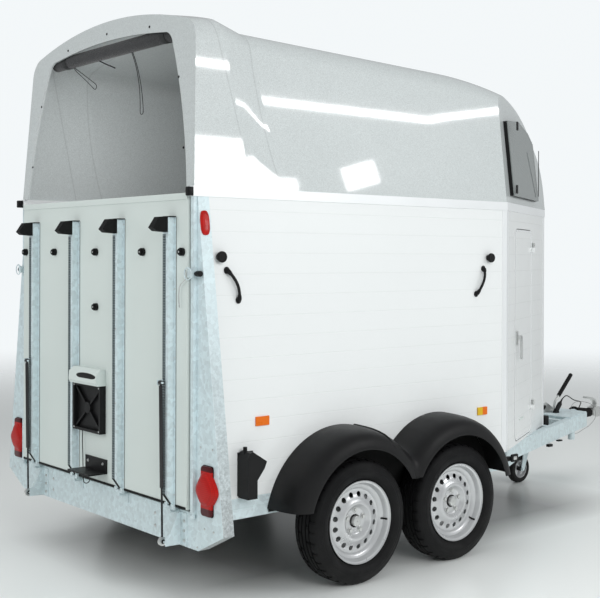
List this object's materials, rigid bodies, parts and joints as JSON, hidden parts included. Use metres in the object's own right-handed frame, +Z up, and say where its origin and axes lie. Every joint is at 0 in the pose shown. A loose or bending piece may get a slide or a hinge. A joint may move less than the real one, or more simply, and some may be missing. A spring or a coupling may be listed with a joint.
{
  "type": "horse trailer",
  "caption": "Two-horse trailer with a moulded hood, rear loading ramp on gas struts, front side door, tandem axles and a jockey wheel.",
  "frame": {"origin": "on the ground under the middle of the trailer's length and width", "axes": "+X forward along the drawbar, +Y to the trailer's left, +Z up"},
  "size_m": [4.557, 2.2, 2.8662],
  "materials": {
    "galvanised": "satin",
    "zinc": "satin",
    "aluminium": "satin",
    "board": "matte",
    "mat": "matte",
    "white_wall": "gloss",
    "ramp_skin": "satin",
    "silver_gelcoat": "gloss",
    "black_plastic": "matte",
    "black_rubber": "matte",
    "black_paint": "gloss",
    "tinted_acrylic": "gloss",
    "red_lens": "gloss",
    "amber_lens": "gloss",
    "padding": "matte",
    "blind_cloth": "matte",
    "rim_paint": "satin",
    "tyre": "matte",
    "cord": "matte",
    "steel_cable": "satin"
  },
  "bodies": {
    "trailer": {"axle_front": "galvanised", "axle_rear": "galvanised", "belt_rail": "aluminium", "bevel_wall_left": "white_wall", "bevel_wall_right": "white_wall", "blind_cords": "cord", "breakaway_cable": "steel_cable", "chassis_rail_left": "galvanised", "chassis_rail_right": "galvanised", "corner_profiles": "aluminium", "coupling_head": "zinc", "cross_members": "galvanised", "door_hinges": "zinc", "floor": "board", "floor_mat": "mat", "gaiter": "black_rubber", "handbrake_lever": "zinc", "hood": "silver_gelcoat", "jockey_mount": "galvanised", "mudguards": "black_plastic", "nose_wall": "white_wall", "overrun_housing": "galvanised", "partition": "board", "plug_cable": "cord", "rear_cross_member": "galvanised", "rear_lamps": "red_lens", "rear_posts": "galvanised", "rolled_blind": "blind_cloth", "side_reflectors": "amber_lens", "side_wall_left": "white_wall", "side_wall_right": "white_wall", "sills": "galvanised", "stall_bars": "padding", "trailer_plug": "black_plastic", "wall_fittings": "black_plastic", "wheel_chocks": "black_plastic", "window_frames": "black_plastic", "window_panes": "tinted_acrylic"},
    "ramp": {"ramp_panel": "ramp_skin", "ramp_ribs": "galvanised", "ramp_rubbers": "black_rubber", "plate_holder": "black_plastic", "plate_lamp": "ramp_skin", "lamp_cable": "cord"},
    "strut_left": {"strut_cylinder_left": "black_paint"},
    "strut_right": {"strut_cylinder_right": "black_paint"},
    "strut_rod_left": {"strut_rod_left": "zinc"},
    "strut_rod_right": {"strut_rod_right": "zinc"},
    "service_door": {"service_door": "white_wall", "door_handle": "zinc"},
    "jockey_fork": {"jockey_fork": "galvanised"},
    "jockey_wheel": {"jockey_wheel": "black_rubber"},
    "wheel_rear_left": {"rim_rear_left": "rim_paint", "tyre_rear_left": "tyre"},
    "wheel_rear_right": {"rim_rear_right": "rim_paint", "tyre_rear_right": "tyre"},
    "wheel_front_left": {"rim_front_left": "rim_paint", "tyre_front_left": "tyre"},
    "wheel_front_right": {"rim_front_right": "rim_paint", "tyre_front_right": "tyre"}
  },
  "joints": [
    {"name": "ramp_hinge", "type": "hinge", "parent": "trailer", "child": "ramp", "pos_m": [-2.1675, 0, 0.456], "axis": [0, -1, 0], "range_deg": [0, 104]},
    {"name": "service_door_hinge", "type": "hinge", "parent": "trailer", "child": "service_door", "pos_m": [0.73465, -0.5495, 1.2], "axis": [0, 0, 1], "range_deg": [0, 110]},
    {"name": "jockey_swivel", "type": "hinge", "parent": "trailer", "child": "jockey_fork", "pos_m": [1.3785, 0.055, 0.5], "axis": [0, 0, 1], "continuous": true},
    {"name": "jockey_wheel_spin", "type": "hinge", "parent": "jockey_fork", "child": "jockey_wheel", "pos_m": [1.3335, 0.055, 0.1], "axis": [0, 1, 0], "continuous": true},
    {"name": "strut_pivot_left", "type": "hinge", "parent": "ramp", "child": "strut_left", "pos_m": [-2.2195, 0.67602, 1.044], "axis": [0, -1, 0], "range_deg": [-10.38, 0]},
    {"name": "strut_slide_left", "type": "slide", "parent": "strut_left", "child": "strut_rod_left", "axis": [-0.0135, 0, 0.9999], "range_m": [0, 0.22379]},
    {"name": "strut_pivot_right", "type": "hinge", "parent": "ramp", "child": "strut_right", "pos_m": [-2.2195, -0.70604, 1.044], "axis": [0, -1, 0], "range_deg": [-10.38, 0]},
    {"name": "strut_slide_right", "type": "slide", "parent": "strut_right", "child": "strut_rod_right", "axis": [-0.0135, 0, 0.9999], "range_m": [0, 0.22379]},
    {"name": "wheel_spin_rear_left", "type": "hinge", "parent": "trailer", "child": "wheel_rear_left", "pos_m": [-1.26342, 0.968, 0.311], "axis": [0, 1, 0], "continuous": true},
    {"name": "wheel_spin_rear_right", "type": "hinge", "parent": "trailer", "child": "wheel_rear_right", "pos_m": [-1.26342, -0.968, 0.311], "axis": [0, 1, 0], "continuous": true},
    {"name": "wheel_spin_front_left", "type": "hinge", "parent": "trailer", "child": "wheel_front_left", "pos_m": [-0.55242, 0.968, 0.311], "axis": [0, 1, 0], "continuous": true},
    {"name": "wheel_spin_front_right", "type": "hinge", "parent": "trailer", "child": "wheel_front_right", "pos_m": [-0.55242, -0.968, 0.311], "axis": [0, 1, 0], "continuous": true}
  ],
  "couplings": [
    {"joint": "strut_pivot_left", "follows": "ramp_hinge", "ratio": -0.099737},
    {"joint": "strut_slide_left", "follows": "ramp_hinge", "m_per_rad": 0.12318},
    {"joint": "strut_pivot_right", "follows": "ramp_hinge", "ratio": -0.099737},
    {"joint": "strut_slide_right", "follows": "ramp_hinge", "m_per_rad": 0.12318}
  ]
}
